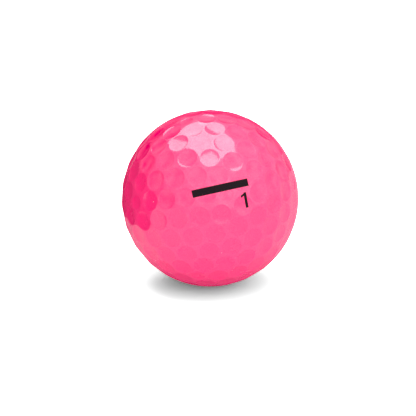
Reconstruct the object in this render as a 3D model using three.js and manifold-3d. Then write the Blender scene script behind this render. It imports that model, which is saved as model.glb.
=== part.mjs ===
// A three-layer golf ball: a solid rubber core, a mantle moulded round it as two cups, and a
// dimpled cover moulded round that as two more cups, with the same print at both poles.
// Millimetres, +Z up, origin at the ball's centre. The ball lies still on a surface, with its
// poles nearly level: the front one, printed, faces forwards (-Y) and a little up.

import * as THREE from "three";
import { ConvexHull } from "three/addons/math/ConvexHull.js";
import { mergeVertices } from "three/addons/utils/BufferGeometryUtils.js";
import Module from "manifold-3d";

const wasm = await Module();
wasm.setup();
const radians = THREE.MathUtils.degToRad;

// ---- Driving dimensions, in millimetres and degrees ----

const BALL_DIAMETER = 42.7;
const COVER_THICKNESS = 1.3; // under the lands between the dimples
const MANTLE_THICKNESS = 1.3;
const BOND_CLEARANCE = 0.05; // between each layer and the one inside it
const PARTING_GAP = 0.04; // between the two cups of a layer, at the equator

const CORNER_DIMPLE = 3.2; // diameter of the twelve dimples at the icosahedron's corners
const EDGE_END_DIMPLE = 4.6; // the dimples on its edges, next to those
const EDGE_DIMPLE = 4.5; // the other dimples on its edges
const FACE_DIMPLE = 4.6; // the dimples inside its faces
const CROWN_DIMPLE = 4.75; // the same, on the faces of the ball's crown side
const CROWN_EDGE = 0.3; // how far towards the crown a face's middle lies, as a share of the radius
const DIMPLE_DEPTH = 0.15; // from the plane of the rim to the bottom
const LEAST_LAND = 0.05; // between the rims of the largest dimples that meet

const PRINT_THICKNESS = 0.05;
const PRINT_CLEARANCE = 0.02; // between the print and the cover
const BAR_LENGTH = 13; // the plain aiming bar
const BAR_WIDTH = 1.7;
const BAR_CENTRE = [-0.92, 1.72]; // across and up from the pole
const FIGURE_HEIGHT = 3.5; // the play number, a plain 1
const FIGURE_STROKE = 0.62;
const FIGURE_CENTRE = [4.2, -2.15];
const FLAG_STROKE = 0.5; // the short stroke to the left of its stem
const FLAG_REACH = 1.05; // from the stem's middle
const FLAG_FALL = 0.35; // from its root to its tip
const FLAG_TOP = 0.2; // down from the top of the stem

const POLE_TURN = 10.6; // the front pole, from straight ahead towards +X
const POLE_TIP = 73; // the front pole, down from straight up
const PRINT_LEAN = 9.5; // the print's up direction, leaning to its left
const PATTERN_TURN = 9.8; // the pattern's foot direction, turned from the print's down

// How finely the round surfaces are divided.
const LAYER_SEGMENTS = 32;
const LAYER_BANDS = 8; // from the equator to the pole
const DIMPLE_SIDES = 10;

// ---- Sizes worked out from them ----

const ballRadius = BALL_DIAMETER / 2;
const coverInside = ballRadius - COVER_THICKNESS;
const mantleOutside = coverInside - BOND_CLEARANCE;
const mantleInside = mantleOutside - MANTLE_THICKNESS;
const coreRadius = mantleInside - BOND_CLEARANCE;
const partingHeight = PARTING_GAP / 2;

// The icosahedron that the dimples are laid out on. Each of its edges takes as many steps, from
// dimple to dimple, as leave room for the largest of them.
const icosahedronEdge = Math.atan(2);
const largestOnEdge = Math.max(EDGE_END_DIMPLE, EDGE_DIMPLE);
const largestOnFace = Math.max(FACE_DIMPLE, CROWN_DIMPLE);
const leastStep = (largestOnEdge + largestOnFace) / 2 + LEAST_LAND;
const edgeSteps = Math.floor((ballRadius * icosahedronEdge) / leastStep);
const footTurn = radians(PATTERN_TURN - 90);
const crownDirection = direction(radians(90), footTurn + Math.PI);

// ---- Materials ----

const plastic = (color, roughness) =>
  new THREE.MeshStandardMaterial({ color, roughness, metalness: 0 });
const coverPaint = plastic(0xff4f8b, 0.25);
const mantleResin = plastic(0xe9e4da, 0.5);
const coreRubber = plastic(0x8d9aa5, 0.85);
const printInk = plastic(0x1c1519, 0.35);

// ---- Helpers ----

// The direction at an angle down from the front pole and turned about it.
function direction(down, turn) {
  const across = Math.sin(down);
  return new THREE.Vector3(across * Math.cos(turn), across * Math.sin(turn), Math.cos(down));
}

// A closed geometry as a solid that can be cut and joined.
function solidOf(geometry) {
  const bare = new THREE.BufferGeometry();
  bare.setAttribute("position", geometry.getAttribute("position"));
  bare.setIndex(geometry.getIndex());
  const merged = mergeVertices(bare, 1e-5);
  const mesh = new wasm.Mesh({
    numProp: 3,
    vertProperties: merged.getAttribute("position").array,
    triVerts: new Uint32Array(merged.getIndex().array),
  });
  return new wasm.Manifold(mesh);
}

function geometryOf(solid) {
  const cut = solid.getMesh();
  const geometry = new THREE.BufferGeometry();
  geometry.setAttribute("position", new THREE.BufferAttribute(cut.vertProperties, 3));
  geometry.setIndex(new THREE.BufferAttribute(cut.triVerts, 1));
  geometry.computeVertexNormals();
  return geometry;
}

function piece(name, geometry, material) {
  const mesh = new THREE.Mesh(geometry, material);
  mesh.name = name;
  return mesh;
}

// ---- Core, mantle and the inside of the cover ----

// The points of an arc, from one angle above the parting plane to another. 90 degrees is the
// pole, on the lathe's axis.
function arcPoints(radius, fromAngle, toAngle, bands) {
  const points = [];
  for (let i = 0; i <= bands; i++) {
    const angle = fromAngle + ((toAngle - fromAngle) * i) / bands;
    const across = Math.abs(angle) === 90 ? 0 : radius * Math.cos(radians(angle));
    points.push(new THREE.Vector2(across, radius * Math.sin(radians(angle))));
  }
  return points;
}

// A profile turned round the line between the poles.
function turned(profile) {
  return new THREE.LatheGeometry(profile, LAYER_SEGMENTS).rotateX(Math.PI / 2);
}

function sphereGeometry(radius) {
  return turned(arcPoints(radius, -90, 90, 2 * LAYER_BANDS));
}

// The front cup of a plain shell, with its rim flat at the parting height.
function cupGeometry(insideRadius, outsideRadius) {
  const rimAngle = (radius) => THREE.MathUtils.radToDeg(Math.asin(partingHeight / radius));
  const outer = arcPoints(outsideRadius, rimAngle(outsideRadius), 90, LAYER_BANDS);
  const inner = arcPoints(insideRadius, 90, rimAngle(insideRadius), LAYER_BANDS);
  return turned([...outer, ...inner, outer[0]]);
}

// ---- Dimple pattern ----

// The icosahedron's corners: one at each pole, and two rings of five between them.
function icosahedronCorners() {
  const fifth = (2 * Math.PI) / 5;
  const corners = [direction(0, 0), direction(Math.PI, 0)];
  for (let i = 0; i < 5; i++) {
    corners.push(direction(icosahedronEdge, footTurn + (i + 0.5) * fifth));
    corners.push(direction(Math.PI - icosahedronEdge, footTurn + i * fifth));
  }
  return corners;
}

// The corners of each of its twenty faces.
function icosahedronFaces() {
  const corners = icosahedronCorners();
  const neighbours = (a, b) => Math.abs(a.angleTo(b) - icosahedronEdge) < radians(1);
  const faces = [];
  corners.forEach((a, i) =>
    corners.slice(i + 1).forEach((b, j) =>
      corners.slice(i + j + 2).forEach((c) => {
        if (neighbours(a, b) && neighbours(b, c) && neighbours(c, a)) faces.push([a, b, c]);
      }),
    ),
  );
  return faces;
}

// A dimple's diameter, from its steps to each side of its face.
function dimpleDiameter(steps, onCrown) {
  if (Math.max(...steps) === edgeSteps) return CORNER_DIMPLE;
  if (Math.min(...steps) > 0) return onCrown ? CROWN_DIMPLE : FACE_DIMPLE;
  return Math.max(...steps) === edgeSteps - 1 ? EDGE_END_DIMPLE : EDGE_DIMPLE;
}

// Every dimple as a direction and an angular radius: an even triangular grid on each face,
// with the rows that two faces share placed once.
function dimpleLayout() {
  const weight = (steps) => Math.sin((icosahedronEdge * steps) / edgeSteps);
  const dimples = [];
  for (const [a, b, c] of icosahedronFaces()) {
    const middle = new THREE.Vector3().add(a).add(b).add(c).normalize();
    const onCrown = middle.dot(crownDirection) > CROWN_EDGE;
    for (let i = 0; i <= edgeSteps; i++) {
      for (let j = 0; i + j <= edgeSteps; j++) {
        const steps = [i, j, edgeSteps - i - j];
        const centre = new THREE.Vector3();
        centre.addScaledVector(a, weight(steps[0]));
        centre.addScaledVector(b, weight(steps[1]));
        centre.addScaledVector(c, weight(steps[2]));
        centre.normalize();
        if (dimples.some((dimple) => dimple.centre.angleTo(centre) < radians(1))) continue;
        const angle = Math.asin(dimpleDiameter(steps, onCrown) / BALL_DIAMETER);
        dimples.push({ centre, angle });
      }
    }
  }
  return dimples;
}

// The corners of a dimple's rim, on the ball's full radius.
function rimPoints({ centre, angle }) {
  const upright = Math.abs(centre.z) > 0.9 ? new THREE.Vector3(0, 1, 0) : new THREE.Vector3(0, 0, 1);
  const along = new THREE.Vector3().crossVectors(upright, centre).normalize();
  const beside = new THREE.Vector3().crossVectors(centre, along);
  const points = [];
  for (let i = 0; i < DIMPLE_SIDES; i++) {
    const turn = (2 * Math.PI * i) / DIMPLE_SIDES;
    const point = centre.clone().multiplyScalar(Math.cos(angle));
    point.addScaledVector(along, Math.sin(angle) * Math.cos(turn));
    point.addScaledVector(beside, Math.sin(angle) * Math.sin(turn));
    points.push(point.multiplyScalar(ballRadius));
  }
  return points;
}

// The outside of the whole ball. The lands are the convex hull of the rims, and a shallow dish
// takes the place of the hull's flat inside each rim.
function dimpledSkin() {
  const dimples = dimpleLayout();
  const rims = dimples.map(rimPoints);
  const rimOf = new Map();
  rims.forEach((rim) => rim.forEach((point) => rimOf.set(point, rim)));
  const triangles = [];

  for (const face of new ConvexHull().setFromPoints(rims.flat()).faces) {
    const corners = [];
    let edge = face.edge;
    do {
      corners.push(edge.head().point);
      edge = edge.next;
    } while (edge !== face.edge);
    const isLand = corners.some((corner) => rimOf.get(corner) !== rimOf.get(corners[0]));
    if (isLand) triangles.push(...corners);
  }

  dimples.forEach(({ centre, angle }, i) => {
    const bottomRadius = ballRadius * Math.cos(angle) - DIMPLE_DEPTH;
    const bottom = centre.clone().multiplyScalar(bottomRadius);
    rims[i].forEach((point, k) => {
      triangles.push(point, rims[i][(k + 1) % DIMPLE_SIDES], bottom);
    });
  });
  return mergeVertices(new THREE.BufferGeometry().setFromPoints(triangles), 1e-5);
}

// ---- Cover ----

// One cup of the cover: the skin on one side of the parting plane, hollowed for the mantle.
function coverCup(skin, side) {
  const slab = new THREE.BoxGeometry(2 * BALL_DIAMETER, 2 * BALL_DIAMETER, BALL_DIAMETER);
  slab.translate(0, 0, side * (partingHeight + BALL_DIAMETER / 2));
  const hollow = solidOf(sphereGeometry(coverInside));
  return geometryOf(solidOf(skin).intersect(solidOf(slab)).subtract(hollow));
}

// ---- Print ----

function barShape() {
  const [x, y] = BAR_CENTRE;
  const shape = new THREE.Shape();
  shape.moveTo(x - BAR_LENGTH / 2, y - BAR_WIDTH / 2);
  shape.lineTo(x + BAR_LENGTH / 2, y - BAR_WIDTH / 2);
  shape.lineTo(x + BAR_LENGTH / 2, y + BAR_WIDTH / 2);
  shape.lineTo(x - BAR_LENGTH / 2, y + BAR_WIDTH / 2);
  return shape;
}

function figureShape() {
  const [x, y] = FIGURE_CENTRE;
  const top = y + FIGURE_HEIGHT / 2;
  const foot = y - FIGURE_HEIGHT / 2;
  const stemLeft = x - FIGURE_STROKE / 2;
  const stemRight = x + FIGURE_STROKE / 2;
  const flagTop = top - FLAG_TOP;
  const flagTip = x - FLAG_REACH;
  const shape = new THREE.Shape();
  shape.moveTo(stemLeft, foot);
  shape.lineTo(stemRight, foot);
  shape.lineTo(stemRight, top);
  shape.lineTo(stemLeft, top);
  shape.lineTo(stemLeft, flagTop);
  shape.lineTo(flagTip, flagTop - FLAG_FALL);
  shape.lineTo(flagTip, flagTop - FLAG_FALL - FLAG_STROKE);
  shape.lineTo(stemLeft, flagTop - FLAG_STROKE);
  return shape;
}

// A shape printed at the front pole (side 1) or the back one (side -1): a thin layer that
// follows the lands and dishes under it, with its outline cut straight along the pole's line.
function printed(skin, shape, side) {
  const outline = new THREE.ExtrudeGeometry(shape, { depth: ballRadius, bevelEnabled: false });
  outline.translate(0, 0, ballRadius / 2);
  if (side < 0) outline.rotateY(Math.PI);
  const skinRaised = (height) => {
    const scale = 1 + height / ballRadius;
    return solidOf(skin.clone().scale(scale, scale, scale));
  };
  const above = skinRaised(PRINT_CLEARANCE + PRINT_THICKNESS);
  const below = skinRaised(PRINT_CLEARANCE);
  return geometryOf(solidOf(outline).intersect(above).subtract(below));
}

// ---- The ball ----

// The moulded ball, with its front pole along +Z and the print's up along +Y.
const moulded = new THREE.Group();
moulded.add(piece("core", sphereGeometry(coreRadius), coreRubber));

const skin = dimpledSkin();
for (const [end, side] of [["front", 1], ["back", -1]]) {
  const mantleCup = piece("mantle_" + end, cupGeometry(mantleInside, mantleOutside), mantleResin);
  if (side < 0) mantleCup.rotation.y = Math.PI;
  moulded.add(mantleCup);
  moulded.add(piece("cover_" + end, coverCup(skin, side), coverPaint));
  moulded.add(piece("aiming_bar_" + end, printed(skin, barShape(), side), printInk));
  moulded.add(piece("play_number_" + end, printed(skin, figureShape(), side), printInk));
}

// The same ball as it lies.
moulded.rotation.z = radians(PRINT_LEAN);
const tipped = new THREE.Group();
tipped.rotation.x = radians(POLE_TIP);
tipped.add(moulded);
const ball = new THREE.Group();
ball.rotation.z = radians(POLE_TURN);
ball.add(tipped);

export default ball;
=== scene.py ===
# A three-layer golf ball with a hot pink cover, resting on a white table under a studio softbox.
# Metres, in the CAD's frame: the ball's centre is the origin, and its printed front pole faces
# the camera (-Y). The file goes from the inside of the ball outwards, and ends with the studio.
import math
import bmesh
import bpy
from mathutils import Matrix, Vector


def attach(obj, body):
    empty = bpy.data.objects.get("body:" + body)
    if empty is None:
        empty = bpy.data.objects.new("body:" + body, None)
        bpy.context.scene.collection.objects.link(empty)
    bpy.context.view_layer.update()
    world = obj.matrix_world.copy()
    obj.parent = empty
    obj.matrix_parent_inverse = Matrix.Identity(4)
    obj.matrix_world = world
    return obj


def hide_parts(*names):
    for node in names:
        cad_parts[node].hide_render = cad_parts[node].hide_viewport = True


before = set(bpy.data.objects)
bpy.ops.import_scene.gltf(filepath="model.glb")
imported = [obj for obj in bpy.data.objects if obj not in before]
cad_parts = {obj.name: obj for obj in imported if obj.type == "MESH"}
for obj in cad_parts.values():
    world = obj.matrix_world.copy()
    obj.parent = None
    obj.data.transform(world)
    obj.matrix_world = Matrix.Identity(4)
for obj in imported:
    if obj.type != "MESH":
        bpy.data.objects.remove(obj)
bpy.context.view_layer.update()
bpy.ops.object.select_all(action="DESELECT")


# ---- The core ----
# A solid ball of vulcanised rubber, pressed in a hot mould and then ground round, so its skin is
# dull and faintly mottled. The mantle grips it all round, and nothing of it shows.

MILLIMETRE = 0.001


def node_at(nodes, kind, inputs=None, **settings):
    """Add a shader node with its settings, and its unlinked inputs' values."""
    node = nodes.new(kind)
    for name, value in settings.items():
        setattr(node, name, value)
    for name, value in (inputs or {}).items():
        node.inputs[name].default_value = value
    return node


def new_material(name, shader_inputs):
    """A material with one Principled shader, and the Object coordinates to draw its detail on."""
    material = bpy.data.materials.new(name)
    material.use_nodes = True
    nodes = material.node_tree.nodes
    shader = nodes["Principled BSDF"]
    for socket, value in shader_inputs.items():
        shader.inputs[socket].default_value = value
    place = nodes.new("ShaderNodeTexCoord").outputs["Object"]
    return material, nodes, material.node_tree.links, shader, place


def moulded_grain_group():
    """The mottle and pores that a mould leaves: a soft cloudiness, and a fine grain on top."""
    group = bpy.data.node_groups.new("moulded grain", "ShaderNodeTree")
    group.interface.new_socket("Place", in_out="INPUT", socket_type="NodeSocketVector")
    group.interface.new_socket("Cloud Scale", in_out="INPUT", socket_type="NodeSocketFloat")
    group.interface.new_socket("Grain Scale", in_out="INPUT", socket_type="NodeSocketFloat")
    group.interface.new_socket("Cloud", in_out="OUTPUT", socket_type="NodeSocketFloat")
    group.interface.new_socket("Grain", in_out="OUTPUT", socket_type="NodeSocketFloat")
    nodes, links = group.nodes, group.links
    given = nodes.new("NodeGroupInput")
    result = nodes.new("NodeGroupOutput")
    cloud = node_at(nodes, "ShaderNodeTexNoise", {"Detail": 3.0, "Roughness": 0.55})
    grain = node_at(nodes, "ShaderNodeTexNoise", {"Detail": 2.0, "Roughness": 0.7})
    links.new(given.outputs["Place"], cloud.inputs["Vector"])
    links.new(given.outputs["Place"], grain.inputs["Vector"])
    links.new(given.outputs["Cloud Scale"], cloud.inputs["Scale"])
    links.new(given.outputs["Grain Scale"], grain.inputs["Scale"])
    links.new(cloud.outputs["Fac"], result.inputs["Cloud"])
    links.new(grain.outputs["Fac"], result.inputs["Grain"])
    return group


moulded_grain = moulded_grain_group()


def grain_in(nodes, links, place, cloud_size, grain_size):
    """Place the moulded grain in a material, with its sizes in metres."""
    grain = nodes.new("ShaderNodeGroup")
    grain.node_tree = moulded_grain
    grain.inputs["Cloud Scale"].default_value = 1 / cloud_size
    grain.inputs["Grain Scale"].default_value = 1 / grain_size
    links.new(place, grain.inputs["Place"])
    return grain


def blended_colour(nodes, links, mask, low_colour, high_colour, low=0.3, high=0.7):
    """A colour that goes from one to the other as the mask goes from low to high."""
    ramp = nodes.new("ShaderNodeValToRGB")
    ramp.color_ramp.elements[0].position = low
    ramp.color_ramp.elements[0].color = (*low_colour, 1.0)
    ramp.color_ramp.elements[1].position = high
    ramp.color_ramp.elements[1].color = (*high_colour, 1.0)
    links.new(mask, ramp.inputs["Fac"])
    return ramp.outputs["Color"]


def mapped(nodes, links, mask, from_low, from_high, to_low, to_high):
    """The mask's values between two limits, spread between two others."""
    limits = {
        "From Min": from_low, "From Max": from_high, "To Min": to_low, "To Max": to_high,
    }
    mapping = node_at(nodes, "ShaderNodeMapRange", limits)
    links.new(mask, mapping.inputs["Value"])
    return mapping.outputs["Result"]


def add_bump(nodes, links, shader, height, depth, strength=1.0):
    """Roughen the shader's normal by a height, at a depth in metres."""
    bump = node_at(nodes, "ShaderNodeBump", {"Strength": strength, "Distance": depth})
    links.new(height, bump.inputs["Height"])
    links.new(bump.outputs["Normal"], shader.inputs["Normal"])


rubber, nodes, links, shader, place = new_material("core rubber", {"Specular IOR Level": 0.35})
grain = grain_in(nodes, links, place, 6 * MILLIMETRE, 0.4 * MILLIMETRE)
colour = blended_colour(
    nodes, links, grain.outputs["Cloud"], (0.19, 0.26, 0.31), (0.31, 0.38, 0.43)
)
links.new(colour, shader.inputs["Base Color"])
roughness = mapped(nodes, links, grain.outputs["Grain"], 0.3, 0.7, 0.72, 0.92)
links.new(roughness, shader.inputs["Roughness"])
add_bump(nodes, links, shader, grain.outputs["Grain"], 0.05 * MILLIMETRE)
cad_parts["core"].material_slots[0].material = rubber


# ---- The mantle ----
# A thin, firm layer of translucent resin, injected round the core as two cups that meet at the
# equator. It's smooth from the mould, with a faint flow mottle.

resin, nodes, links, shader, place = new_material(
    "mantle resin", {"Subsurface Weight": 0.15, "Subsurface Scale": 0.5 * MILLIMETRE}
)
grain = grain_in(nodes, links, place, 9 * MILLIMETRE, 0.25 * MILLIMETRE)
colour = blended_colour(
    nodes, links, grain.outputs["Cloud"], (0.74, 0.69, 0.60), (0.86, 0.83, 0.77)
)
links.new(colour, shader.inputs["Base Color"])
roughness = mapped(nodes, links, grain.outputs["Grain"], 0.3, 0.7, 0.38, 0.52)
links.new(roughness, shader.inputs["Roughness"])
add_bump(nodes, links, shader, grain.outputs["Grain"], 0.01 * MILLIMETRE)
for node_name in ("mantle_front", "mantle_back"):
    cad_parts[node_name].material_slots[0].material = resin


# ---- The cover ----
# Two cups of tough urethane, moulded round the mantle in a dimpled mould, buffed where they meet
# and painted as one, under a clear gloss. Each dimple is a saucer: a rounded rim, a steeper
# wall just inside it, and a nearly flat floor.

BALL_RADIUS = 21.35 * MILLIMETRE
COVER_THICKNESS = 1.3 * MILLIMETRE
PAINTED_PARTING_GAP = 0.006 * MILLIMETRE
CUT_TOLERANCE = 0.0001 * MILLIMETRE

# The dimples' diameters, by their place on the icosahedron that they are laid out on.
CORNER_DIMPLE = 3.2 * MILLIMETRE
EDGE_END_DIMPLE = 4.6 * MILLIMETRE
EDGE_DIMPLE = 4.5 * MILLIMETRE
FACE_DIMPLE = 4.6 * MILLIMETRE
CROWN_DIMPLE = 4.75 * MILLIMETRE
CROWN_EDGE = 0.3
EDGE_STEPS = 5
ICOSAHEDRON_EDGE = math.atan(2)

# How the ball lies, as turns in degrees: the pole, the tip of the pole, and the print's lean.
POLE_TURN = 10.6
POLE_TIP = 73.0
PRINT_LEAN = 9.5
PATTERN_TURN = 9.8
attitude = (
    Matrix.Rotation(math.radians(POLE_TURN), 4, "Z")
    @ Matrix.Rotation(math.radians(POLE_TIP), 4, "X")
    @ Matrix.Rotation(math.radians(PRINT_LEAN), 4, "Z")
)

HULL_SIDES = 12
SIDE_CUTS = 2
RIM_OUTSIDE = 0.09 * MILLIMETRE
RIM_INSIDE = 0.12 * MILLIMETRE
RIM_RINGS = 5
WALL_SLOPE = math.radians(11)
FLOOR_EDGE = 0.86
FLOOR_SLOPE = math.radians(5.5)
WALL_RINGS = 2
FLOOR_RINGS = 5


def direction(down, turn):
    """The direction at an angle down from the front pole and turned about it."""
    across = math.sin(down)
    return Vector((across * math.cos(turn), across * math.sin(turn), math.cos(down)))


def icosahedron_corners(foot_turn):
    """One corner at each pole, and two rings of five between them."""
    corners = [direction(0, 0), direction(math.pi, 0)]
    for i in range(5):
        upper_turn = foot_turn + math.radians(72 * (i + 0.5))
        lower_turn = foot_turn + math.radians(72 * i)
        corners.append(direction(ICOSAHEDRON_EDGE, upper_turn))
        corners.append(direction(math.pi - ICOSAHEDRON_EDGE, lower_turn))
    return corners


def icosahedron_faces(corners):
    """Every three corners that are an edge apart from each other."""
    def joined(a, b):
        return abs(a.angle(b) - ICOSAHEDRON_EDGE) < math.radians(1)

    faces = []
    for i, a in enumerate(corners):
        for j in range(i + 1, len(corners)):
            for k in range(j + 1, len(corners)):
                b, c = corners[j], corners[k]
                if joined(a, b) and joined(b, c) and joined(c, a):
                    faces.append((a, b, c))
    return faces


def dimple_diameter(steps, on_crown):
    """A dimple's diameter, from its steps to each side of its face."""
    if max(steps) == EDGE_STEPS:
        return CORNER_DIMPLE
    if min(steps) > 0:
        return CROWN_DIMPLE if on_crown else FACE_DIMPLE
    return EDGE_END_DIMPLE if max(steps) == EDGE_STEPS - 1 else EDGE_DIMPLE


def dimple_layout():
    """Every dimple's direction and diameter: an even triangular grid on each face."""
    foot_turn = math.radians(PATTERN_TURN - 90)
    crown = direction(math.radians(90), foot_turn + math.pi)
    dimples = []
    for corners in icosahedron_faces(icosahedron_corners(foot_turn)):
        on_crown = sum(corners, Vector()).normalized().dot(crown) > CROWN_EDGE
        for i in range(EDGE_STEPS + 1):
            for j in range(EDGE_STEPS + 1 - i):
                steps = (i, j, EDGE_STEPS - i - j)
                centre = Vector()
                for corner, step in zip(corners, steps):
                    centre += corner * math.sin(ICOSAHEDRON_EDGE * step / EDGE_STEPS)
                centre.normalize()
                if all(centre.angle(other) > math.radians(1) for other, size in dimples):
                    dimples.append((centre, dimple_diameter(steps, on_crown)))
    return dimples


def new_piece(name):
    """An empty mesh object at the origin, active and in edit mode."""
    piece = bpy.data.objects.new(name, bpy.data.meshes.new(name))
    bpy.context.collection.objects.link(piece)
    bpy.ops.object.select_all(action="DESELECT")
    piece.select_set(True)
    bpy.context.view_layer.objects.active = piece
    bpy.ops.object.mode_set(mode="EDIT")
    return piece


def select_faces(piece, is_wanted):
    """Select the faces of a piece in edit mode that a test picks."""
    shape = bmesh.from_edit_mesh(piece.data)
    bpy.ops.mesh.select_all(action="DESELECT")
    for face in shape.faces:
        if is_wanted(face):
            face.select_set(True)
    bmesh.update_edit_mesh(piece.data)


def dish_rings(diameter):
    """The rings from the rim to the middle of a dimple, as pairs of width and rise."""
    radius = diameter / 2
    land_slope = -math.asin(radius / BALL_RADIUS)
    rings = []
    for i in range(RIM_RINGS):
        width = (RIM_OUTSIDE + RIM_INSIDE) / RIM_RINGS
        slope = land_slope + (WALL_SLOPE - land_slope) * (i + 0.5) / RIM_RINGS
        rings.append((width, -width * math.tan(slope)))
    for i in range(WALL_RINGS):
        width = (radius * (1 - FLOOR_EDGE) - RIM_INSIDE) / WALL_RINGS
        slope = WALL_SLOPE + (FLOOR_SLOPE - WALL_SLOPE) * (i + 0.5) / WALL_RINGS
        rings.append((width, -width * math.tan(slope)))
    for i in range(FLOOR_RINGS):
        width = radius * FLOOR_EDGE / (FLOOR_RINGS + 0.5)
        slope = FLOOR_SLOPE * (1 - (i + 0.5) / (FLOOR_RINGS + 0.5))
        rings.append((width, -width * math.tan(slope)))
    return rings


def mouth_angle(diameter):
    """How far a dimple's mouth reaches from its middle, with the rounding outside its rim."""
    return math.asin(diameter / 2 / BALL_RADIUS) + RIM_OUTSIDE / BALL_RADIUS


def dimple_of(face, dimples):
    """The dimple whose mouth a face fills, or None for a face of the lands or of a dish."""
    if len(face.verts) < HULL_SIDES:
        return None
    middle = face.calc_center_median()
    return max(dimples, key=lambda dimple: dimple[0].dot(middle))


def mouth_size(face, dimples):
    """The diameter of the dimple whose mouth a face fills, or None for any other face."""
    dimple = dimple_of(face, dimples)
    return dimple[1] if dimple else None


def round_out(skin, dimples):
    """Move the skin's corners out to the ball's round, and each mouth's to its circle."""
    shape = bmesh.from_edit_mesh(skin.data)
    for vertex in shape.verts:
        vertex.co = vertex.co.normalized() * BALL_RADIUS
    for face in shape.faces:
        dimple = dimple_of(face, dimples)
        if dimple:
            centre, diameter = dimple
            angle = mouth_angle(diameter)
            for vertex in face.verts:
                outward = (vertex.co - centre * vertex.co.dot(centre)).normalized()
                vertex.co = (centre * math.cos(angle) + outward * math.sin(angle)) * BALL_RADIUS
    bmesh.update_edit_mesh(skin.data)


def dimpled_skin():
    """The whole outside of the cover, shared by both cups.

    A disc stands at each dimple's rim, a hull stretched round the discs makes the lands, and
    each disc is then sunk ring by ring into a dish.
    """
    dimples = dimple_layout()
    skin = new_piece("skin")
    for centre, diameter in dimples:
        rim_angle = math.asin(diameter / 2 / BALL_RADIUS)
        bpy.ops.mesh.primitive_circle_add(
            vertices=HULL_SIDES,
            radius=BALL_RADIUS * math.sin(rim_angle),
            fill_type="NGON",
            location=centre * BALL_RADIUS * math.cos(rim_angle),
            rotation=centre.to_track_quat("Z", "Y").to_euler(),
        )
    bpy.ops.mesh.select_all(action="SELECT")
    bpy.ops.mesh.convex_hull(
        delete_unused=False, use_existing_faces=True, make_holes=False, join_triangles=False
    )
    round_out(skin, dimples)
    bpy.ops.mesh.select_all(action="SELECT")
    bpy.ops.mesh.subdivide(number_cuts=SIDE_CUTS)
    round_out(skin, dimples)
    for size in sorted({diameter for centre, diameter in dimples}):
        select_faces(skin, lambda face: mouth_size(face, dimples) == size)
        for width, rise in dish_rings(size):
            bpy.ops.mesh.inset(thickness=width, depth=rise, use_individual=True)
        bpy.ops.mesh.poke()
    bpy.ops.mesh.select_all(action="SELECT")
    bpy.ops.mesh.normals_make_consistent(inside=False)
    bpy.ops.object.mode_set(mode="OBJECT")
    return skin


def copy_of(piece, name):
    """A copy of a piece with its own mesh, selected and in edit mode."""
    copy = piece.copy()
    copy.data = piece.data.copy()
    copy.name = copy.data.name = name
    bpy.context.collection.objects.link(copy)
    bpy.ops.object.select_all(action="DESELECT")
    copy.select_set(True)
    bpy.context.view_layer.objects.active = copy
    bpy.ops.object.mode_set(mode="EDIT")
    bpy.ops.mesh.select_all(action="SELECT")
    return copy


def keep_side(side):
    """Cut what is selected along the parting plane, and keep its front (1) or back (-1)."""
    bpy.ops.mesh.bisect(
        plane_co=(0, 0, side * PAINTED_PARTING_GAP / 2),
        plane_no=(0, 0, side),
        clear_inner=True,
        threshold=CUT_TOLERANCE,
    )


def lay_down(piece, smooth_below):
    """Shade a finished piece, and turn it from its own upright place to how the ball lies."""
    bpy.ops.object.mode_set(mode="OBJECT")
    bpy.ops.object.shade_smooth_by_angle(angle=math.radians(smooth_below))
    piece.data.transform(attitude)


def cover_cup(skin, name, side):
    """One cup: its half of the skin, a round hollow for the mantle, and a flat rim between."""
    hollow = new_piece("hollow")
    bpy.ops.mesh.primitive_uv_sphere_add(
        segments=96, ring_count=48, radius=BALL_RADIUS - COVER_THICKNESS
    )
    keep_side(side)
    bpy.ops.object.mode_set(mode="OBJECT")
    cup = copy_of(skin, name)
    keep_side(side)
    bpy.ops.object.mode_set(mode="OBJECT")
    hollow.select_set(True)
    bpy.ops.object.join()
    bpy.ops.object.mode_set(mode="EDIT")
    bpy.ops.mesh.select_mode(type="EDGE")
    bpy.ops.mesh.select_all(action="DESELECT")
    bpy.ops.mesh.select_non_manifold(extend=False)
    bpy.ops.mesh.fill(use_beauty=False)
    bpy.ops.mesh.select_mode(type="FACE")
    bpy.ops.mesh.select_all(action="SELECT")
    bpy.ops.mesh.normals_make_consistent(inside=False)
    lay_down(cup, 35)
    return cup


skin = dimpled_skin()
cover_front = cover_cup(skin, "painted_cover_front", 1)
cover_back = cover_cup(skin, "painted_cover_back", -1)

# The paint: hot pink with a fine fleck in it, painted a little paler on the rims and lands as a
# painted highlight on the ridges, under a clear gloss with a trace of orange peel, a few specks
# and light scuffs.

SPECK_SPACING = 2.6 * MILLIMETRE
SPECK_SIZE = 0.09 * MILLIMETRE
PALE_SPECK_SHARE = 0.16
DARK_SPECK_SHARE = 0.10


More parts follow.
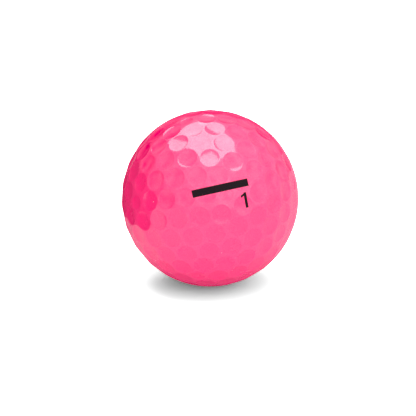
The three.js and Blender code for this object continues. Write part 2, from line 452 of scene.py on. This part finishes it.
def handling_group():
    """What handling leaves on the gloss: sparse specks of dust, and short faint scuffs."""
    group = bpy.data.node_groups.new("handling marks", "ShaderNodeTree")
    group.interface.new_socket("Place", in_out="INPUT", socket_type="NodeSocketVector")
    group.interface.new_socket("Speck Spacing", in_out="INPUT", socket_type="NodeSocketFloat")
    group.interface.new_socket("Speck Size", in_out="INPUT", socket_type="NodeSocketFloat")
    group.interface.new_socket("Pale Specks", in_out="OUTPUT", socket_type="NodeSocketFloat")
    group.interface.new_socket("Dark Specks", in_out="OUTPUT", socket_type="NodeSocketFloat")
    group.interface.new_socket("Scuffs", in_out="OUTPUT", socket_type="NodeSocketFloat")
    nodes, links = group.nodes, group.links
    given = nodes.new("NodeGroupInput")
    result = nodes.new("NodeGroupOutput")

    # A speck is where a cell's middle is nearer than the speck's size, in a few chosen cells.
    density = node_at(nodes, "ShaderNodeMath", {0: 1.0}, operation="DIVIDE")
    links.new(given.outputs["Speck Spacing"], density.inputs[1])
    cells = node_at(nodes, "ShaderNodeTexVoronoi", {"Randomness": 1.0})
    links.new(given.outputs["Place"], cells.inputs["Vector"])
    links.new(density.outputs["Value"], cells.inputs["Scale"])
    reach = node_at(nodes, "ShaderNodeMath", operation="DIVIDE")
    links.new(given.outputs["Speck Size"], reach.inputs[0])
    links.new(given.outputs["Speck Spacing"], reach.inputs[1])
    spot = node_at(nodes, "ShaderNodeMath", operation="LESS_THAN")
    links.new(cells.outputs["Distance"], spot.inputs[0])
    links.new(reach.outputs["Value"], spot.inputs[1])
    lot = nodes.new("ShaderNodeSeparateColor")
    links.new(cells.outputs["Color"], lot.inputs["Color"])
    for channel, output, share in (
        ("Red", "Pale Specks", PALE_SPECK_SHARE),
        ("Green", "Dark Specks", DARK_SPECK_SHARE),
    ):
        chosen = node_at(nodes, "ShaderNodeMath", {1: share}, operation="LESS_THAN")
        links.new(lot.outputs[channel], chosen.inputs[0])
        speck = node_at(nodes, "ShaderNodeMath", operation="MULTIPLY")
        links.new(spot.outputs["Value"], speck.inputs[0])
        links.new(chosen.outputs["Value"], speck.inputs[1])
        links.new(speck.outputs["Value"], result.inputs[output])

    # Scuffs are thin streaks of a stretched noise, showing only inside a few broad patches.
    stretch = node_at(nodes, "ShaderNodeMapping", {"Scale": (700.0, 90.0, 140.0)})
    stretch.inputs["Rotation"].default_value = (0.5, 0.3, 0.9)
    links.new(given.outputs["Place"], stretch.inputs["Vector"])
    streak = node_at(nodes, "ShaderNodeTexNoise", {"Scale": 1.0, "Detail": 4.0})
    links.new(stretch.outputs["Vector"], streak.inputs["Vector"])
    patch = node_at(nodes, "ShaderNodeTexNoise", {"Scale": 110.0, "Detail": 2.0})
    links.new(given.outputs["Place"], patch.inputs["Vector"])
    thin = mapped(nodes, links, streak.outputs["Fac"], 0.62, 0.72, 0.0, 1.0)
    area = mapped(nodes, links, patch.outputs["Fac"], 0.55, 0.68, 0.0, 1.0)
    scuff = node_at(nodes, "ShaderNodeMath", operation="MULTIPLY")
    links.new(thin, scuff.inputs[0])
    links.new(area, scuff.inputs[1])
    links.new(scuff.outputs["Value"], result.inputs["Scuffs"])
    return group


handling_marks = handling_group()


def marks_in(nodes, links, place):
    """Place the handling marks in a material."""
    marks = nodes.new("ShaderNodeGroup")
    marks.node_tree = handling_marks
    marks.inputs["Speck Spacing"].default_value = SPECK_SPACING
    marks.inputs["Speck Size"].default_value = SPECK_SIZE
    links.new(place, marks.inputs["Place"])
    return marks


def mixed_colour(nodes, links, mask, base, over):
    """The base colour, with another over it where the mask is 1. Either may be a socket."""
    mix = node_at(nodes, "ShaderNodeMix", data_type="RGBA")
    links.new(mask, mix.inputs["Factor"])
    # The Mix node has sockets of every type, and only its colour ones are used.
    sockets = [socket for socket in mix.inputs if socket.type == "RGBA"]
    for socket, colour in zip(sockets, (base, over)):
        if isinstance(colour, tuple):
            socket.default_value = (*colour, 1.0)
        else:
            links.new(colour, socket)
    return next(output for output in mix.outputs if output.type == "RGBA")


def summed(nodes, links, first, second, share):
    """The first value, with a share of the second added to it."""
    total = node_at(nodes, "ShaderNodeMath", {1: share}, operation="MULTIPLY_ADD")
    links.new(second, total.inputs[0])
    links.new(first, total.inputs[2])
    return total.outputs["Value"]


# Within this depth under the ball's full round, the rims and lands are painted paler: a painted
# highlight on the ridges, which leaves the dimples darker.
RIDGE_HIGHLIGHT_STARTS = 0.012 * MILLIMETRE
RIDGE_HIGHLIGHT_ENDS = 0.002 * MILLIMETRE

# The paint's emission is a painted glow: it lifts the whole ball as fill light would.
paint, nodes, links, shader, place = new_material(
    "hot pink paint",
    {
        "Specular IOR Level": 0.15,
        "Coat IOR": 2.15,
        "Coat Roughness": 0.1,
        "Emission Strength": 0.22,
    },
)
grain = grain_in(nodes, links, place, 5 * MILLIMETRE, 0.26 * MILLIMETRE)
marks = marks_in(nodes, links, place)
fleck = blended_colour(
    nodes, links, grain.outputs["Grain"], (0.92, 0.012, 0.142), (0.98, 0.026, 0.190)
)
height = node_at(nodes, "ShaderNodeVectorMath", operation="LENGTH")
links.new(place, height.inputs[0])
painted_ridge_highlight = mapped(
    nodes, links, height.outputs["Value"],
    BALL_RADIUS - RIDGE_HIGHLIGHT_STARTS, BALL_RADIUS - RIDGE_HIGHLIGHT_ENDS, 0.0, 0.18,
)
# Paler pink on the rims and lands is a painted highlight.
colour = mixed_colour(nodes, links, painted_ridge_highlight, fleck, (0.98, 0.07, 0.23))
colour = mixed_colour(nodes, links, marks.outputs["Pale Specks"], colour, (0.95, 0.70, 0.75))
colour = mixed_colour(nodes, links, marks.outputs["Dark Specks"], colour, (0.30, 0.01, 0.05))

# The table finds the paint grey, so that the ball's shadow on it stays neutral. To the eye, the
# paint also glows faintly: a painted glow that brightens the whole ball, standing in for fill
# light.
light_path = nodes.new("ShaderNodeLightPath")
colour = mixed_colour(
    nodes, links, light_path.outputs["Is Diffuse Ray"], colour, (0.04, 0.04, 0.04)
)
links.new(colour, shader.inputs["Base Color"])
# The colour also feeds the emission, for the painted glow.
links.new(colour, shader.inputs["Emission Color"])

pearl = mapped(nodes, links, grain.outputs["Grain"], 0.3, 0.7, 0.01, 0.06)
links.new(pearl, shader.inputs["Metallic"])
gloss = mapped(nodes, links, grain.outputs["Cloud"], 0.3, 0.7, 0.22, 0.30)
gloss = summed(nodes, links, gloss, marks.outputs["Scuffs"], 0.12)
links.new(gloss, shader.inputs["Roughness"])

# The clear gloss is a little uneven with the fleck, and fades where it's seen edge-on.
facing = node_at(nodes, "ShaderNodeLayerWeight", {"Blend": 0.5}).outputs["Facing"]
clear_gloss = mapped(nodes, links, facing, 0.60, 0.92, 1.0, 0.05)
fine_gloss = mapped(nodes, links, grain.outputs["Grain"], 0.3, 0.7, 0.60, 1.0)
coat = node_at(nodes, "ShaderNodeMath", operation="MULTIPLY")
links.new(clear_gloss, coat.inputs[0])
links.new(fine_gloss, coat.inputs[1])
links.new(coat.outputs["Value"], shader.inputs["Coat Weight"])

peel = summed(nodes, links, grain.outputs["Cloud"], grain.outputs["Grain"], 0.05)
add_bump(nodes, links, shader, peel, 0.012 * MILLIMETRE)

for cup, node_name in ((cover_front, "cover_front"), (cover_back, "cover_back")):
    cup.data.materials.append(paint)
    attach(cup, "root")
    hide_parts(node_name)


# ---- The print ----
# A plain aiming bar and the play number, pad-printed in black at both poles before the clear
# gloss goes on. The pad presses the ink down into the dimples, so it follows the skin.

INK_LIFT = 0.008 * MILLIMETRE
INK_THICKNESS = 0.018 * MILLIMETRE
INK_CELL = 0.1 * MILLIMETRE
BAR_SIZE = (13 * MILLIMETRE, 1.7 * MILLIMETRE)
BAR_CENTRE = (-0.92 * MILLIMETRE, 1.72 * MILLIMETRE)
STEM_SIZE = (0.62 * MILLIMETRE, 3.5 * MILLIMETRE)
STEM_CENTRE = (4.2 * MILLIMETRE, -2.15 * MILLIMETRE)
FLAG_TOP = 0.2 * MILLIMETRE
FLAG_STROKE = 0.5 * MILLIMETRE
FLAG_REACH = 1.05 * MILLIMETRE
FLAG_FALL = 0.35 * MILLIMETRE
FLAG_CELLS = 8
PAD_HEIGHT = BALL_RADIUS + 1 * MILLIMETRE


def flat_ink(name, size, centre):
    """A flat sheet of small cells above the front pole, in edit mode."""
    sheet = new_piece(name)
    bpy.ops.mesh.primitive_grid_add(
        x_subdivisions=round(size[0] / INK_CELL),
        y_subdivisions=round(size[1] / INK_CELL),
        size=1,
        location=(*centre, PAD_HEIGHT),
    )
    bpy.ops.transform.resize(value=(*size, 1), center_override=(*centre, PAD_HEIGHT))
    return sheet


def add_flag(sheet):
    """Draw the play number's flag out of the left edge of its stem, down to its tip."""
    left = STEM_CENTRE[0] - STEM_SIZE[0] / 2
    top = STEM_CENTRE[1] + STEM_SIZE[1] / 2 - FLAG_TOP
    shape = bmesh.from_edit_mesh(sheet.data)
    bpy.ops.mesh.select_mode(type="EDGE")
    bpy.ops.mesh.select_all(action="DESELECT")
    for edge in shape.edges:
        middle = (edge.verts[0].co + edge.verts[1].co) / 2
        on_left = abs(middle.x - left) < INK_CELL / 4
        if on_left and top - FLAG_STROKE < middle.y < top:
            edge.select_set(True)
    bmesh.update_edit_mesh(sheet.data)
    step = ((STEM_SIZE[0] / 2 - FLAG_REACH) / FLAG_CELLS, -FLAG_FALL / FLAG_CELLS, 0)
    for i in range(FLAG_CELLS):
        bpy.ops.mesh.extrude_edges_move(TRANSFORM_OT_translate={"value": step})
    bpy.ops.mesh.select_mode(type="FACE")


def press_onto(skin, sheet, side):
    """Press a flat sheet of ink straight down onto the skin, at the front pole or the back."""
    bpy.ops.mesh.select_all(action="SELECT")
    if side < 0:
        bpy.ops.transform.rotate(value=math.pi, orient_axis="Y", center_override=(0, 0, 0))
    bpy.ops.object.mode_set(mode="OBJECT")
    press = sheet.modifiers.new("press", "SHRINKWRAP")
    press.target = skin
    press.wrap_method = "PROJECT"
    press.use_project_z = True
    press.use_negative_direction = True
    press.use_positive_direction = True
    press.offset = INK_LIFT
    film = sheet.modifiers.new("film", "SOLIDIFY")
    film.thickness = INK_THICKNESS
    film.offset = 1
    for modifier in ("press", "film"):
        bpy.ops.object.modifier_apply(modifier=modifier)


ink, nodes, links, shader, place = new_material("print ink", {"Specular IOR Level": 0.05})
grain = grain_in(nodes, links, place, 3 * MILLIMETRE, 0.12 * MILLIMETRE)
marks = marks_in(nodes, links, place)
colour = blended_colour(
    nodes, links, grain.outputs["Grain"], (0.010, 0.006, 0.008), (0.022, 0.013, 0.017)
)
colour = mixed_colour(nodes, links, marks.outputs["Pale Specks"], colour, (0.25, 0.20, 0.21))
links.new(colour, shader.inputs["Base Color"])
gloss = mapped(nodes, links, grain.outputs["Cloud"], 0.3, 0.7, 0.58, 0.70)
gloss = summed(nodes, links, gloss, marks.outputs["Scuffs"], 0.15)
links.new(gloss, shader.inputs["Roughness"])
add_bump(nodes, links, shader, grain.outputs["Grain"], 0.004 * MILLIMETRE)

for end, side in (("front", 1), ("back", -1)):
    bar = flat_ink("ink_bar_" + end, BAR_SIZE, BAR_CENTRE)
    press_onto(skin, bar, side)
    number = flat_ink("ink_number_" + end, STEM_SIZE, STEM_CENTRE)
    add_flag(number)
    press_onto(skin, number, side)
    for printed, node_name in ((bar, "aiming_bar_" + end), (number, "play_number_" + end)):
        bpy.context.view_layer.objects.active = printed
        bpy.ops.object.select_all(action="DESELECT")
        printed.select_set(True)
        lay_down(printed, 50)
        printed.data.materials.append(ink)
        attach(printed, "root")
        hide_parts(node_name)

bpy.data.objects.remove(skin)


# ---- The table ----
# A large sheet of white laminate, a touch uneven in tone, that the ball touches at one point.
# It's lit through a little from below, duller in the ball's gloss, and overexposed to the lens.

TABLE_SIDE = 8.0
TONE_IN_GLOSS = 0.50
LIT_THROUGH = 0.38
OVEREXPOSED = 2.15
SHADOW_LIFT = 0.08

bpy.ops.mesh.primitive_grid_add(
    x_subdivisions=8, y_subdivisions=8, size=TABLE_SIDE, location=(0, 0, -BALL_RADIUS)
)
table = bpy.context.object
table.name = "table"
laminate, nodes, links, shader, place = new_material(
    "white laminate", {"Roughness": 0.9, "Specular IOR Level": 0.1}
)
grain = grain_in(nodes, links, place, 0.4, 2 * MILLIMETRE)
colour = blended_colour(
    nodes, links, grain.outputs["Cloud"], (0.88, 0.88, 0.88), (0.92, 0.92, 0.92)
)

# What the ball gets from the table: its white with the light through it, but in the gloss only a
# duller white.
seen = nodes.new("ShaderNodeLightPath")
in_gloss = seen.outputs["Is Glossy Ray"]
colour = mixed_colour(nodes, links, in_gloss, colour, (TONE_IN_GLOSS,) * 3)
links.new(colour, shader.inputs["Base Color"])
light_through = mixed_colour(nodes, links, in_gloss, (LIT_THROUGH,) * 3, (0.0, 0.0, 0.0))
links.new(light_through, shader.inputs["Emission Color"])
shader.inputs["Emission Strength"].default_value = 1.0

# What the lens gets: clean white, with the ball's shadow in it.
bright = node_at(nodes, "ShaderNodeBsdfDiffuse")
bright.inputs["Color"].default_value = (OVEREXPOSED, OVEREXPOSED, OVEREXPOSED, 1.0)
glow = node_at(nodes, "ShaderNodeEmission", {"Strength": SHADOW_LIFT})
shown = nodes.new("ShaderNodeAddShader")
links.new(bright.outputs["BSDF"], shown.inputs[0])
links.new(glow.outputs["Emission"], shown.inputs[1])
either = nodes.new("ShaderNodeMixShader")
links.new(seen.outputs["Is Camera Ray"], either.inputs["Fac"])
links.new(shader.outputs["BSDF"], either.inputs[1])
links.new(shown.outputs["Shader"], either.inputs[2])
links.new(either.outputs["Shader"], nodes["Material Output"].inputs["Surface"])
table.data.materials.append(laminate)


# ---- The studio ----
# One big softbox overhead, a white tent all round that is brightest in front and to the right,
# and a black card behind the ball on its left. The card shows only as a dark patch in the gloss
# and a little less light on that side, and is hidden from the lens.

SOFTBOX_PLACE = Vector((-0.2, 0.3, 2.5))
SOFTBOX_SIZE = (2.0, 3.4)
SOFTBOX_RADIANCE = 2.2

light = bpy.data.lights.new("overhead_softbox", "AREA")
light.shape = "RECTANGLE"
light.size, light.size_y = SOFTBOX_SIZE
light.energy = SOFTBOX_RADIANCE * math.pi * SOFTBOX_SIZE[0] * SOFTBOX_SIZE[1]
softbox = bpy.data.objects.new("overhead_softbox", light)
softbox.location = SOFTBOX_PLACE
softbox.rotation_euler = (-SOFTBOX_PLACE).to_track_quat("-Z", "Y").to_euler()
bpy.context.collection.objects.link(softbox)

TENT_BRIGHT_SIDE = (0.42, -0.58, 0.70)
TENT_DARKEST = 0.0
TENT_BRIGHTEST = 1.16
FOLD_CONTRAST = 1.6

tent = bpy.data.worlds.new("white tent")
tent.use_nodes = True
nodes, links = tent.node_tree.nodes, tent.node_tree.links
way = nodes.new("ShaderNodeTexCoord").outputs["Generated"]
bright_side = node_at(
    nodes, "ShaderNodeVectorMath", {1: TENT_BRIGHT_SIDE}, operation="DOT_PRODUCT"
)
links.new(way, bright_side.inputs[0])
folds = node_at(nodes, "ShaderNodeTexNoise", {"Scale": 6.0, "Detail": 2.0})
links.new(way, folds.inputs["Vector"])
slope = mapped(
    nodes, links, bright_side.outputs["Value"],
    -0.6, 1.0, TENT_DARKEST - FOLD_CONTRAST / 2, TENT_BRIGHTEST - FOLD_CONTRAST / 2,
)
brightness = summed(nodes, links, slope, folds.outputs["Fac"], FOLD_CONTRAST)
links.new(brightness, nodes["Background"].inputs["Strength"])
nodes["Background"].inputs["Color"].default_value = (1.0, 1.0, 1.0, 1.0)
bpy.context.scene.world = tent
bpy.context.scene.view_settings.view_transform = "Standard"

CARD_DISTANCE = 50 * MILLIMETRE
CARD_SIZE = (80 * MILLIMETRE, 36 * MILLIMETRE)
CARD_TURN = math.radians(-105)

card_foot = Vector((
    math.sin(CARD_TURN) * CARD_DISTANCE,
    -math.cos(CARD_TURN) * CARD_DISTANCE,
    -BALL_RADIUS,
))
bpy.ops.mesh.primitive_plane_add(
    size=1,
    location=card_foot + Vector((0, 0, CARD_SIZE[1] / 2)),
    rotation=(math.radians(90), 0, CARD_TURN),
)
card = bpy.context.object
card.name = "black_card"
card.scale = (*CARD_SIZE, 1)
black, nodes, links, shader, place = new_material("black felt", {"Roughness": 1.0})
grain = grain_in(nodes, links, place, 0.3, 0.02)
colour = blended_colour(
    nodes, links, grain.outputs["Grain"], (0.01, 0.01, 0.01), (0.02, 0.02, 0.02)
)
links.new(colour, shader.inputs["Base Color"])
card.data.materials.append(black)
card.visible_camera = False
card.visible_shadow = False


# ---- The camera ----
# Seven ball widths away and a little above the ball, with a long lens, which is shifted so that
# the ball stands just above the middle of the picture.

CAMERA_DISTANCE = 14 * BALL_RADIUS
CAMERA_RAISE = math.radians(15)
CAMERA_LENS = 106.9
FRAME_SHIFT = (-0.0048, -0.0236)

lens = bpy.data.cameras.new("camera")
lens.lens = CAMERA_LENS
lens.sensor_width = 36
lens.clip_start = 0.01
lens.shift_x, lens.shift_y = FRAME_SHIFT
camera = bpy.data.objects.new("camera", lens)
camera.location = (
    0,
    -CAMERA_DISTANCE * math.cos(CAMERA_RAISE),
    CAMERA_DISTANCE * math.sin(CAMERA_RAISE),
)
camera.rotation_euler = (math.radians(90) - CAMERA_RAISE, 0, 0)
bpy.context.collection.objects.link(camera)
bpy.context.scene.camera = camera
